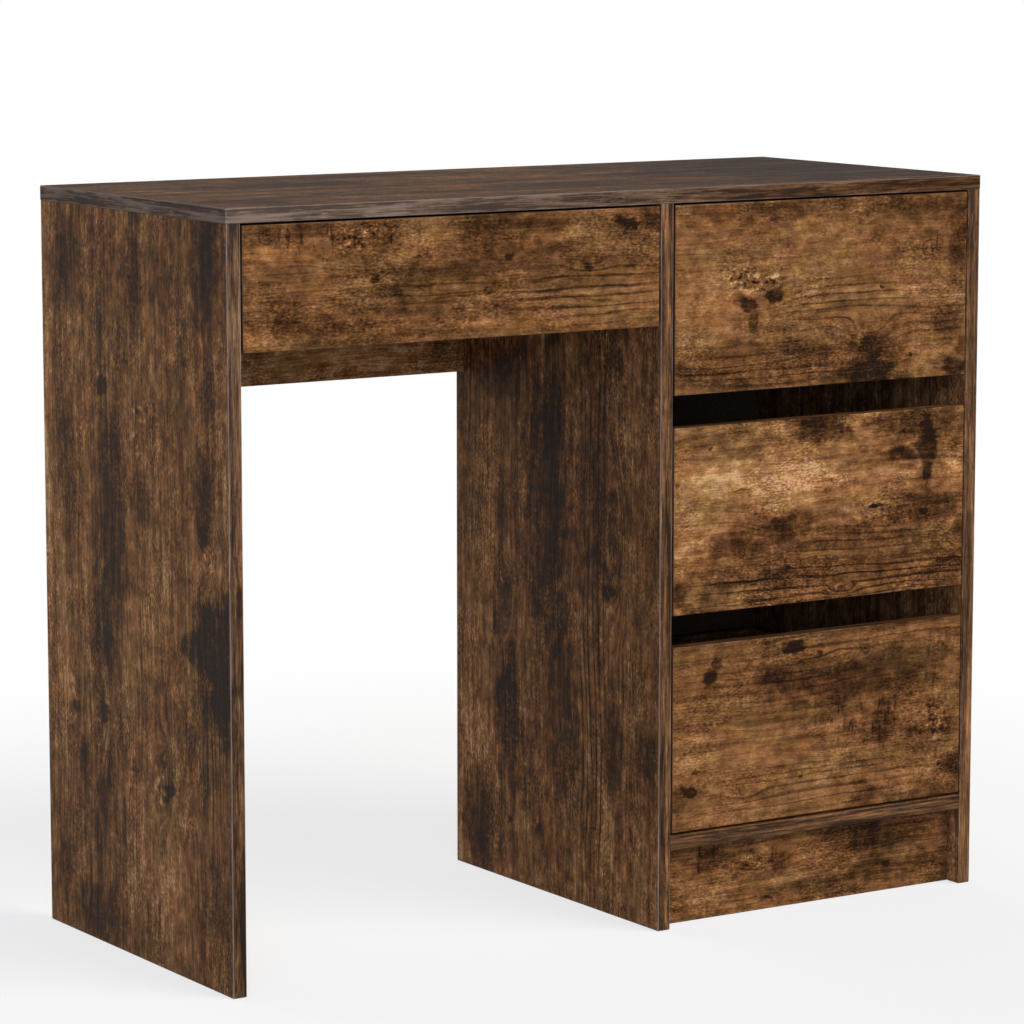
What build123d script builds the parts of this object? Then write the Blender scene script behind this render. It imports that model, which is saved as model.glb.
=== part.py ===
from build123d import *
import os
from collections import namedtuple

# Writing desk of laminated boards: a shallow drawer over the knee space, and a pedestal of three
# drawers at the right. Millimetres, +Z up, origin on the floor under the middle of the desktop,
# the drawer fronts towards -Y.

# Overall size and boards
WIDTH = 900
DEPTH = 385
HEIGHT = 756
BOARD = 15
BOX_BOARD = 12  # drawer sides and backs
HARDBOARD = 3  # drawer bottoms and the pedestal's back
ARRIS = 1.2  # rounding of the edge banding
BOX_ARRIS = 0.5

# Carcass layout
TOP_OVERHANG = 0.5  # desktop past each outer side face
KNEE_WIDTH = 478.5
BASE_TOP = 97
PLINTH_SETBACK = 20
APRON_HEIGHT = 201.5
BACK_SETBACK = 9  # from the rear edges to the groove of the back panel
GROOVE_DEPTH = 5
GROOVE_PLAY = 0.2  # on each face of a board in its groove

# Drawer fronts
REVEAL = 2  # at the sides and under the desktop
BASE_REVEAL = 3
FINGER_GAP = 32.5
WRITING_FRONT_HEIGHT = 120

# Drawer boxes
BOX_DEPTH = 345
WRITING_SIDE_HEIGHT = 80
PEDESTAL_SIDE_HEIGHT = 110
BOTTOM_RISE = 8  # drawer bottom above the lower edge of the sides
SIDE_CLEARANCE = 12.5  # drawer side to carcass wall, taken up by the slide

# Roller slides, measured from the carcass wall and from the channel's lower face
RAIL_RISE = 12  # channel above the lower edge of its drawer front
RAIL_LENGTH = 346
RAIL_SETBACK = 1.5  # front of the channel behind the drawer front
SHEET = 1.2
CHANNEL_HEIGHT = 26
CHANNEL_REACH = 10
CHANNEL_CUT = 27  # upper flange cut back for the front roller
TRACK_UNDERSIDE = 28.2
TRACK_START = 2.5
SEAT_HEIGHT = 5  # underside of the flange that carries the drawer side
TRAVEL = 255
STOP_PLAY = 0.5

# Rollers and their riveted axles
ROLLER_RADIUS = 11.5
ROLLER_WIDTH = 6.4
ROLLER_START = 2.6  # from the carcass wall
ROLLER_RECESS_RADIUS = 4.7
ROLLER_RECESS_DEPTH = 1.4
AXLE_RADIUS = 2.5
AXLE_PLAY = 0.06
FRONT_AXLE_SETBACK = 13  # behind the channel's front end
FRONT_AXLE_HEIGHT = 16.4  # above the channel's lower face
REAR_AXLE_SETBACK = BOX_DEPTH - 12  # behind the drawer front
REAR_AXLE_HEIGHT = 13

# Planes that the boards share
FRONT = -DEPTH / 2
REAR = DEPTH / 2
UNDER_TOP = HEIGHT - BOARD
LEFT_OUTER = -WIDTH / 2 + TOP_OVERHANG
LEFT_INNER = LEFT_OUTER + BOARD
DIVIDER_LEFT = LEFT_INNER + KNEE_WIDTH
DIVIDER_RIGHT = DIVIDER_LEFT + BOARD
RIGHT_OUTER = WIDTH / 2 - TOP_OVERHANG
RIGHT_INNER = RIGHT_OUTER - BOARD
BASE_UNDERSIDE = BASE_TOP - BOARD
PLINTH_FRONT = FRONT + PLINTH_SETBACK
PLINTH_REAR = PLINTH_FRONT + BOARD
APRON_FRONT = REAR - BOARD
APRON_BOTTOM = UNDER_TOP - APRON_HEIGHT
BOX_FRONT = FRONT + BOARD
BOX_REAR = BOX_FRONT + BOX_DEPTH
GROOVE_REAR = REAR - BACK_SETBACK
GROOVE_FRONT = GROOVE_REAR - HARDBOARD - 2 * GROOVE_PLAY
RAIL_FRONT = BOX_FRONT + RAIL_SETBACK
DRAWER_SEAT = SEAT_HEIGHT + SHEET

os.makedirs("parts", exist_ok=True)

Drawer = namedtuple("Drawer", "name left_wall right_wall bottom height side_height")
Drilling = namedtuple("Drilling", "planes radius depth")
CamFitting = namedtuple("CamFitting", "board cam_radius cam_depth pocket_depth setback bolt_radius")
CamJoint = namedtuple("CamJoint", "origin into cam_face")

# Directions of the ends that butt against another board
TO_LEFT = (-1, 0, 0)
TO_RIGHT = (1, 0, 0)
TO_FRONT = (0, -1, 0)
TO_TOP = (0, 0, 1)


# Helpers

def save(label, part):
    """Label a finished piece and write it to its own file."""
    part.label = label
    export_step(part, f"parts/{label}.step")


def block(low, high, mode=Mode.ADD):
    """A rectangular block between two corners."""
    with Locations((Vector(low) + Vector(high)) / 2):
        Box(*(Vector(high) - Vector(low)), mode=mode)


def turned(outline):
    """A solid turned about Z from half of its outline, as (radius, height) points."""
    with BuildPart() as piece:
        with BuildSketch(Plane.XZ):
            with BuildLine():
                Polyline(*outline, close=True)
            make_face()
        revolve(axis=Axis.Z)
    return piece.part


def group(label, *sets):
    """One node of separate like solids: each set is a solid and the planes that it stands on."""
    with BuildPart() as pieces:
        for solid, planes in sets:
            with Locations(*planes):
                add(solid)
    save(label, pieces.part)


def flat(lists):
    """The items of several lists, in one list."""
    return [item for items in lists for item in items]


def make_board(label, low, high, butted=(), grooves=(), drillings=(), arris=ARRIS):
    """A board between two corners, with grooves and blind drillings. Its arrises are rounded,
    apart from those of the ends that butt against another board."""
    with BuildPart() as board:
        block(low, high)
        ends = [board.faces().sort_by(Axis((0, 0, 0), direction))[-1] for direction in butted]
        fillet(board.edges() - flat(end.edges() for end in ends), radius=arris)
        for groove_low, groove_high in grooves:
            block(groove_low, groove_high, mode=Mode.SUBTRACT)
        for drilling in drillings:
            with Locations(*drilling.planes):
                Hole(drilling.radius, drilling.depth)
    save(label, board.part)


# Cam fittings: a bolt in one board is drawn in by a cam that turns in the other

CARCASS_CAM = CamFitting(
    BOARD, cam_radius=7.3, cam_depth=12, pocket_depth=12.5, setback=24, bolt_radius=3)
DRAWER_CAM = CamFitting(
    BOX_BOARD, cam_radius=5.8, cam_depth=9.4, pocket_depth=9.8, setback=20, bolt_radius=2.4)
FITTING_PLAY = 0.2
BOLT_THREAD_RADIUS = 2.5
BOLT_THREAD_LENGTH = 8.5
BOLT_HEAD_LENGTH = 4
BOLT_NECK_LENGTH = 4.5
BOLT_NECK_SHARE = 0.6  # of the bolt's radius
CAM_SLOT_PLAY = 0.5
CROSS_WIDTH = 1.4
CROSS_DEPTH = 1.6


def bolt_of(fitting):
    """A cam bolt along +Z: its thread below the joint face, its necked head at the cam."""
    head_end = fitting.setback + BOLT_HEAD_LENGTH / 4
    neck_end = head_end - BOLT_HEAD_LENGTH
    neck_start = neck_end - BOLT_NECK_LENGTH
    neck_radius = fitting.bolt_radius * BOLT_NECK_SHARE
    return turned([
        (0, -BOLT_THREAD_LENGTH), (BOLT_THREAD_RADIUS, -BOLT_THREAD_LENGTH), (BOLT_THREAD_RADIUS, 0),
        (fitting.bolt_radius, 0), (fitting.bolt_radius, neck_start), (neck_radius, neck_start),
        (neck_radius, neck_end), (fitting.bolt_radius, neck_end), (fitting.bolt_radius, head_end),
        (0, head_end)])


def cam_of(fitting):
    """A cam with its face at Z 0, a slot for the bolt head towards +X and a cross for the driver."""
    slot_half = fitting.bolt_radius + CAM_SLOT_PLAY
    middle = -fitting.board / 2
    cross_length = fitting.cam_radius
    with BuildPart() as cam:
        Cylinder(fitting.cam_radius, fitting.cam_depth, align=(Align.CENTER, Align.CENTER, Align.MAX))
        block((-slot_half, -slot_half, middle - slot_half),
              (2 * fitting.cam_radius, slot_half, middle + slot_half), mode=Mode.SUBTRACT)
        for length, width in ((cross_length, CROSS_WIDTH), (CROSS_WIDTH, cross_length)):
            Box(length, width, 2 * CROSS_DEPTH, mode=Mode.SUBTRACT)
    return cam.part


def bolt_planes(joints):
    """Where the bolts stand: on the joint face, pointing into the board with the cam."""
    return [Plane(origin=joint.origin, z_dir=joint.into) for joint in joints]


def cam_planes(joints, fitting):
    """Where the cams lie: flush with a face of their board, open towards the bolt."""
    planes = []
    for joint in joints:
        centre = Vector(joint.origin) + Vector(joint.into) * fitting.setback
        centre += Vector(joint.cam_face) * (fitting.board / 2)
        planes.append(Plane(origin=centre, x_dir=-Vector(joint.into), z_dir=joint.cam_face))
    return planes


def bolt_drillings(joints):
    """Holes for the bolt threads, in the board that holds the bolts."""
    radius = BOLT_THREAD_RADIUS + FITTING_PLAY / 2
    return [Drilling(bolt_planes(joints), radius, BOLT_THREAD_LENGTH + FITTING_PLAY)]


def cam_drillings(joints, fitting):
    """Edge holes for the bolts and pockets for the cams, in the board that holds the cams."""
    edge_planes = [Plane(origin=joint.origin, z_dir=-Vector(joint.into)) for joint in joints]
    return [Drilling(edge_planes, fitting.bolt_radius + FITTING_PLAY, fitting.setback),
            Drilling(cam_planes(joints, fitting), fitting.cam_radius + FITTING_PLAY, fitting.pocket_depth)]


# Dowels: a short end in the face of one board, a long end in the edge of the other

DOWEL_RADIUS = 4
DOWEL_FACE_LENGTH = 9
DOWEL_EDGE_LENGTH = 21
DOWEL_CHAMFER = 0.6
DOWEL_PLAY = 0.1
DOWEL_END_RADIUS = DOWEL_RADIUS - DOWEL_CHAMFER
DOWEL = turned([
    (0, -DOWEL_FACE_LENGTH), (DOWEL_END_RADIUS, -DOWEL_FACE_LENGTH),
    (DOWEL_RADIUS, DOWEL_CHAMFER - DOWEL_FACE_LENGTH), (DOWEL_RADIUS, DOWEL_EDGE_LENGTH - DOWEL_CHAMFER),
    (DOWEL_END_RADIUS, DOWEL_EDGE_LENGTH), (0, DOWEL_EDGE_LENGTH)])


def dowel_face_drillings(planes):
    """Holes for the short ends: the planes point out of the drilled face."""
    return [Drilling(planes, DOWEL_RADIUS + DOWEL_PLAY, DOWEL_FACE_LENGTH + DOWEL_PLAY)]


def dowel_edge_drillings(planes):
    """Holes for the long ends, in the edge that meets the drilled face."""
    turned_over = [Plane(origin=plane.origin, z_dir=-plane.z_dir) for plane in planes]
    return [Drilling(turned_over, DOWEL_RADIUS + DOWEL_PLAY, DOWEL_EDGE_LENGTH + DOWEL_PLAY)]


# Where the carcass boards are joined

CAM_ROWS = (-120, 120)
DOWEL_ROWS = (-155, 155)
APRON_CAM_INSET = 35  # from the apron's upper and lower edges
APRON_CAM_HEIGHTS = (APRON_BOTTOM + APRON_CAM_INSET, UNDER_TOP - APRON_CAM_INSET)
APRON_DOWEL_HEIGHT = APRON_BOTTOM + APRON_HEIGHT / 2
PLINTH_CAM_HEIGHT = 28
PLINTH_DOWEL_HEIGHT = 58
BASE_MIDDLE = (BASE_TOP + BASE_UNDERSIDE) / 2
PLINTH_MIDDLE = (PLINTH_FRONT + PLINTH_REAR) / 2
APRON_MIDDLE = (APRON_FRONT + REAR) / 2


def cam_row(points, into, cam_face):
    """Cam joints at several points of one board face."""
    return [CamJoint(point, into, cam_face) for point in points]


def dowel_row(points, into):
    """Dowels at several points of one board face."""
    return [Plane(origin=point, z_dir=into) for point in points]


# The uprights stand under the desktop, with their cams towards the inside
top_joints = {}
top_dowels = {}
for upright, middle_x, cam_face in (
        ("left_side_panel", (LEFT_OUTER + LEFT_INNER) / 2, TO_RIGHT),
        ("divider_panel", (DIVIDER_LEFT + DIVIDER_RIGHT) / 2, TO_RIGHT),
        ("right_side_panel", (RIGHT_INNER + RIGHT_OUTER) / 2, TO_LEFT)):
    top_joints[upright] = cam_row([(middle_x, y, UNDER_TOP) for y in CAM_ROWS], (0, 0, -1), cam_face)
    top_dowels[upright] = dowel_row([(middle_x, y, UNDER_TOP) for y in DOWEL_ROWS], (0, 0, -1))

# The base panel and the plinth hang between the divider and the right side panel
base_joints = {}
base_dowels = {}
plinth_joints = {}
plinth_dowels = {}
for face_x, into in ((DIVIDER_RIGHT, TO_RIGHT), (RIGHT_INNER, TO_LEFT)):
    base_joints[face_x] = cam_row([(face_x, y, BASE_MIDDLE) for y in CAM_ROWS], into, (0, 0, -1))
    base_dowels[face_x] = dowel_row([(face_x, y, BASE_MIDDLE) for y in DOWEL_ROWS], into)
    plinth_joints[face_x] = cam_row([(face_x, PLINTH_MIDDLE, PLINTH_CAM_HEIGHT)], into, (0, 1, 0))
    plinth_dowels[face_x] = dowel_row([(face_x, PLINTH_MIDDLE, PLINTH_DOWEL_HEIGHT)], into)

# The apron hangs between the left side panel and the divider
apron_joints = {}
apron_dowels = {}
for face_x, into in ((LEFT_INNER, TO_RIGHT), (DIVIDER_LEFT, TO_LEFT)):
    apron_joints[face_x] = cam_row([(face_x, APRON_MIDDLE, z) for z in APRON_CAM_HEIGHTS], into, (0, 1, 0))
    apron_dowels[face_x] = dowel_row([(face_x, APRON_MIDDLE, APRON_DOWEL_HEIGHT)], into)


# The four drawers

WRITING_TOP = UNDER_TOP - REVEAL
PEDESTAL_BOTTOM = BASE_TOP + BASE_REVEAL
PEDESTAL_NAMES = ("lower_drawer", "middle_drawer", "upper_drawer")
PEDESTAL_FRONT_HEIGHT = (WRITING_TOP - PEDESTAL_BOTTOM - 2 * FINGER_GAP) / 3

drawers = [Drawer("writing_drawer", LEFT_INNER, DIVIDER_LEFT, WRITING_TOP - WRITING_FRONT_HEIGHT,
                  WRITING_FRONT_HEIGHT, WRITING_SIDE_HEIGHT)]
for level, name in enumerate(PEDESTAL_NAMES):
    front_bottom = PEDESTAL_BOTTOM + level * (PEDESTAL_FRONT_HEIGHT + FINGER_GAP)
    drawers.append(Drawer(name, DIVIDER_RIGHT, RIGHT_INNER, front_bottom,
                          PEDESTAL_FRONT_HEIGHT, PEDESTAL_SIDE_HEIGHT))


def walls(drawer):
    """A drawer's two carcass walls: side, face and the direction from the wall to the drawer."""
    return (("left", drawer.left_wall, 1), ("right", drawer.right_wall, -1))


# Screws

RAIL_SCREW_ROWS = (45, 175, 305)  # behind the channel's front end
RAIL_SCREW_HEIGHT = CHANNEL_HEIGHT / 2
DRAWER_SCREW_ROWS = (30, 165, 300)  # behind the drawer front
DRAWER_SCREW_HEIGHT = 21
SCREW_RADIUS = 1.7
SCREW_HEAD_RADIUS = 3.25
SCREW_HEAD_HEIGHT = 0.7
SCREW_PLAY = 0.15
RAIL_SCREW_LENGTH = 9
DRAWER_SCREW_LENGTH = 7.5
BACK_SCREW_RADIUS = 2.4
BACK_SCREW_HEAD_RADIUS = 3.5
BACK_SCREW_HEAD_DEPTH = 2.5
BACK_SCREW_LENGTH = 38


def low_head_screw(length):
    """A screw with a low flat head, its shank below Z 0."""
    return turned([
        (0, -length), (SCREW_RADIUS, -length), (SCREW_RADIUS, 0), (SCREW_HEAD_RADIUS, 0),
        (SCREW_HEAD_RADIUS, SCREW_HEAD_HEIGHT), (0, SCREW_HEAD_HEIGHT)])


BACK_SCREW = turned([
    (0, -BACK_SCREW_LENGTH), (BACK_SCREW_RADIUS, -BACK_SCREW_LENGTH),
    (BACK_SCREW_RADIUS, -BACK_SCREW_HEAD_DEPTH), (BACK_SCREW_HEAD_RADIUS, -BACK_SCREW_HEAD_DEPTH),
    (BACK_SCREW_HEAD_RADIUS, 0), (0, 0)])


def rail_screw_planes(drawer, wall_x, inward, lift=0):
    """The channel's screws, on the wall or lifted to the face of the channel's web."""
    z = drawer.bottom + RAIL_RISE + RAIL_SCREW_HEIGHT
    x = wall_x + inward * lift
    return [Plane(origin=(x, RAIL_FRONT + y, z), z_dir=(inward, 0, 0)) for y in RAIL_SCREW_ROWS]


def rail_drillings(*uses):
    """Pilot holes for the channels' screws, for drawers on the given walls."""
    planes = flat(rail_screw_planes(drawer, wall_x, inward) for drawer, wall_x, inward in uses)
    return [Drilling(planes, SCREW_RADIUS + SCREW_PLAY, RAIL_SCREW_LENGTH)]


# Carcass boards

BACK_GROOVE_LOW = BASE_TOP - GROOVE_DEPTH
BACK_GROOVE_HIGH = UNDER_TOP + GROOVE_DEPTH
writing, lower, middle, upper = drawers
pedestal_drawers = (lower, middle, upper)


def back_groove(low_x, high_x, low_z, high_z):
    """A length of the groove that holds the pedestal's back panel."""
    return ((low_x, GROOVE_FRONT, low_z), (high_x, GROOVE_REAR, high_z))


make_board(
    "desktop", (-WIDTH / 2, FRONT, UNDER_TOP), (WIDTH / 2, REAR, HEIGHT),
    grooves=[back_groove(
        DIVIDER_RIGHT - GROOVE_DEPTH, RIGHT_INNER + GROOVE_DEPTH, UNDER_TOP, BACK_GROOVE_HIGH)],
    drillings=bolt_drillings(flat(top_joints.values())) + dowel_face_drillings(flat(top_dowels.values())))

make_board(
    "left_side_panel", (LEFT_OUTER, FRONT, 0), (LEFT_INNER, REAR, UNDER_TOP), butted=[TO_TOP],
    drillings=cam_drillings(top_joints["left_side_panel"], CARCASS_CAM)
    + dowel_edge_drillings(top_dowels["left_side_panel"])
    + bolt_drillings(apron_joints[LEFT_INNER]) + dowel_face_drillings(apron_dowels[LEFT_INNER])
    + rail_drillings((writing, LEFT_INNER, 1)))

make_board(
    "divider_panel", (DIVIDER_LEFT, FRONT, 0), (DIVIDER_RIGHT, REAR, UNDER_TOP), butted=[TO_TOP],
    grooves=[back_groove(DIVIDER_RIGHT - GROOVE_DEPTH, DIVIDER_RIGHT, BACK_GROOVE_LOW, UNDER_TOP)],
    drillings=cam_drillings(top_joints["divider_panel"], CARCASS_CAM)
    + dowel_edge_drillings(top_dowels["divider_panel"])
    + bolt_drillings(apron_joints[DIVIDER_LEFT]) + dowel_face_drillings(apron_dowels[DIVIDER_LEFT])
    + bolt_drillings(base_joints[DIVIDER_RIGHT] + plinth_joints[DIVIDER_RIGHT])
    + dowel_face_drillings(base_dowels[DIVIDER_RIGHT] + plinth_dowels[DIVIDER_RIGHT])
    + rail_drillings(
        (writing, DIVIDER_LEFT, -1), *[(drawer, DIVIDER_RIGHT, 1) for drawer in pedestal_drawers]))

make_board(
    "right_side_panel", (RIGHT_INNER, FRONT, 0), (RIGHT_OUTER, REAR, UNDER_TOP), butted=[TO_TOP],
    grooves=[back_groove(RIGHT_INNER, RIGHT_INNER + GROOVE_DEPTH, BACK_GROOVE_LOW, UNDER_TOP)],
    drillings=cam_drillings(top_joints["right_side_panel"], CARCASS_CAM)
    + dowel_edge_drillings(top_dowels["right_side_panel"])
    + bolt_drillings(base_joints[RIGHT_INNER] + plinth_joints[RIGHT_INNER])
    + dowel_face_drillings(base_dowels[RIGHT_INNER] + plinth_dowels[RIGHT_INNER])
    + rail_drillings(*[(drawer, RIGHT_INNER, -1) for drawer in pedestal_drawers]))

make_board(
    "base_panel", (DIVIDER_RIGHT, FRONT, BASE_UNDERSIDE), (RIGHT_INNER, REAR, BASE_TOP),
    butted=[TO_LEFT, TO_RIGHT],
    grooves=[back_groove(DIVIDER_RIGHT, RIGHT_INNER, BACK_GROOVE_LOW, BASE_TOP)],
    drillings=cam_drillings(flat(base_joints.values()), CARCASS_CAM)
    + dowel_edge_drillings(flat(base_dowels.values())))

make_board(
    "plinth_board", (DIVIDER_RIGHT, PLINTH_FRONT, 0), (RIGHT_INNER, PLINTH_REAR, BASE_UNDERSIDE),
    butted=[TO_LEFT, TO_RIGHT, TO_TOP],
    drillings=cam_drillings(flat(plinth_joints.values()), CARCASS_CAM)
    + dowel_edge_drillings(flat(plinth_dowels.values())))

make_board(
    "rear_apron", (LEFT_INNER, APRON_FRONT, APRON_BOTTOM), (DIVIDER_LEFT, REAR, UNDER_TOP),
    butted=[TO_LEFT, TO_RIGHT, TO_TOP],
    drillings=cam_drillings(flat(apron_joints.values()), CARCASS_CAM)
    + dowel_edge_drillings(flat(apron_dowels.values())))

# The back panel stands in grooves on all four sides
back_inset = GROOVE_DEPTH - 2 * GROOVE_PLAY
make_board(
    "back_panel", (DIVIDER_RIGHT - back_inset, GROOVE_FRONT + GROOVE_PLAY, BASE_TOP - back_inset),
    (RIGHT_INNER + back_inset, GROOVE_REAR - GROOVE_PLAY, UNDER_TOP + back_inset), arris=BOX_ARRIS)

# Fittings of the carcass
joint_sets = (top_joints, base_joints, plinth_joints, apron_joints)
dowel_sets = (top_dowels, base_dowels, plinth_dowels, apron_dowels)
carcass_joints = flat(flat(joints.values()) for joints in joint_sets)
carcass_dowels = flat(flat(planes.values()) for planes in dowel_sets)
carcass_rail_screws = flat(rail_screw_planes(drawer, wall_x, inward, lift=SHEET)
                           for drawer in drawers for _, wall_x, inward in walls(drawer))
group("cam_bolts", (bolt_of(CARCASS_CAM), bolt_planes(carcass_joints)))
group("cam_locks", (cam_of(CARCASS_CAM), cam_planes(carcass_joints, CARCASS_CAM)))
group("wood_dowels", (DOWEL, carcass_dowels))
group("rail_screws", (low_head_screw(RAIL_SCREW_LENGTH), carcass_rail_screws))


# Roller slides, left hand: X from the carcass wall, Y from the front end, Z from the channel's lower face

ROLLER_END = ROLLER_START + ROLLER_WIDTH
RIVET_HEAD_RADIUS = 4.2
RIVET_HEAD_HEIGHT = 1
SHOULDER_RADIUS = 3.6
ROLLER_SIDE_PLAY = 0.2
ROLLER_CHAMFER = 0.5
roller_bore = AXLE_RADIUS + AXLE_PLAY

# The roller turns about Z here, its rivet recess at the upper end
ROLLER = turned([
    (roller_bore, 0), (ROLLER_RADIUS - ROLLER_CHAMFER, 0), (ROLLER_RADIUS, ROLLER_CHAMFER),
    (ROLLER_RADIUS, ROLLER_WIDTH - ROLLER_CHAMFER), (ROLLER_RADIUS - ROLLER_CHAMFER, ROLLER_WIDTH),
    (ROLLER_RECESS_RADIUS, ROLLER_WIDTH), (ROLLER_RECESS_RADIUS, ROLLER_WIDTH - ROLLER_RECESS_DEPTH),
    (roller_bore, ROLLER_WIDTH - ROLLER_RECESS_DEPTH)])


def riveted_axle(shoulder_length):
    """An axle standing on a rail's web at Z 0: a shoulder, the journal and the rivet head."""
    journal_end = shoulder_length + ROLLER_WIDTH - ROLLER_RECESS_DEPTH + 2 * ROLLER_SIDE_PLAY
    head_end = journal_end + RIVET_HEAD_HEIGHT
    return turned([
        (0, 0), (SHOULDER_RADIUS, 0), (SHOULDER_RADIUS, shoulder_length), (AXLE_RADIUS, shoulder_length),
        (AXLE_RADIUS, journal_end), (RIVET_HEAD_RADIUS, journal_end), (RIVET_HEAD_RADIUS, head_end),
        (0, head_end)])


web_face = SIDE_CLEARANCE - SHEET
front_axle = riveted_axle(ROLLER_START - ROLLER_SIDE_PLAY - SHEET)
rear_axle = riveted_axle(web_face - ROLLER_END - ROLLER_SIDE_PLAY)
rear_stop = REAR_AXLE_SETBACK + ROLLER_RADIUS + STOP_PLAY - RAIL_SETBACK
front_stop = REAR_AXLE_SETBACK - TRAVEL - ROLLER_RADIUS - STOP_PLAY - RAIL_SETBACK
STOP_LUG_HEIGHT = 5

with BuildPart() as channel_rail:
    inner_top = CHANNEL_HEIGHT - SHEET
    with BuildSketch(Plane.XZ):
        with BuildLine():
            Polyline((0, 0), (CHANNEL_REACH, 0), (CHANNEL_REACH, SHEET), (SHEET, SHEET),
                     (SHEET, inner_top), (CHANNEL_REACH, inner_top), (CHANNEL_REACH, CHANNEL_HEIGHT),
                     (0, CHANNEL_HEIGHT), close=True)
        make_face()
    extrude(amount=-RAIL_LENGTH)
    block((SHEET, 0, inner_top), (CHANNEL_REACH, CHANNEL_CUT, CHANNEL_HEIGHT), mode=Mode.SUBTRACT)
    block((SHEET, rear_stop, SHEET), (CHANNEL_REACH, rear_stop + SHEET, inner_top))
    block((SHEET, front_stop - SHEET, inner_top - STOP_LUG_HEIGHT), (CHANNEL_REACH, front_stop, inner_top))
    with Locations(Plane(origin=(SHEET, FRONT_AXLE_SETBACK, FRONT_AXLE_HEIGHT), z_dir=TO_RIGHT)):
        add(front_axle)
    with Locations(*[Plane(origin=(SHEET, y, RAIL_SCREW_HEIGHT), z_dir=TO_RIGHT) for y in RAIL_SCREW_ROWS]):
        Hole(SCREW_RADIUS + SCREW_PLAY, SHEET)

with BuildPart() as drawer_rail:
    seat_end = SIDE_CLEARANCE + BOX_BOARD
    track_top = TRACK_UNDERSIDE + SHEET
    with BuildSketch(Plane.XZ):
        with BuildLine():
            Polyline((TRACK_START, TRACK_UNDERSIDE), (web_face, TRACK_UNDERSIDE), (web_face, SEAT_HEIGHT),
                     (seat_end, SEAT_HEIGHT), (seat_end, DRAWER_SEAT), (SIDE_CLEARANCE, DRAWER_SEAT),
                     (SIDE_CLEARANCE, track_top), (TRACK_START, track_top), close=True)
        make_face()
    extrude(amount=-BOX_DEPTH)
    with Locations(Plane(origin=(web_face, REAR_AXLE_SETBACK, REAR_AXLE_HEIGHT), z_dir=TO_LEFT)):
        add(rear_axle)
    screw_points = [(web_face, y, DRAWER_SCREW_HEIGHT) for y in DRAWER_SCREW_ROWS]
    with Locations(*[Plane(origin=point, z_dir=TO_LEFT) for point in screw_points]):
        Hole(SCREW_RADIUS + SCREW_PLAY, SHEET)

with BuildPart() as channel_rail_right:
    mirror(channel_rail.part, about=Plane.YZ)

with BuildPart() as drawer_rail_right:
    mirror(drawer_rail.part, about=Plane.YZ)

channel_rails = {"left": channel_rail.part, "right": channel_rail_right.part}
drawer_rails = {"left": drawer_rail.part, "right": drawer_rail_right.part}


def place(label, part, point):
    """A copy of a rail at its place in the desk."""
    with BuildPart() as rail:
        with Locations(point):
            add(part)
    save(label, rail.part)


# Drawers: each box with its rails, rollers and fittings

CAM_SHARES = (0.42, 0.8)  # of the side's height
BACK_SCREW_SHARES = (0.4, 0.75)

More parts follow.
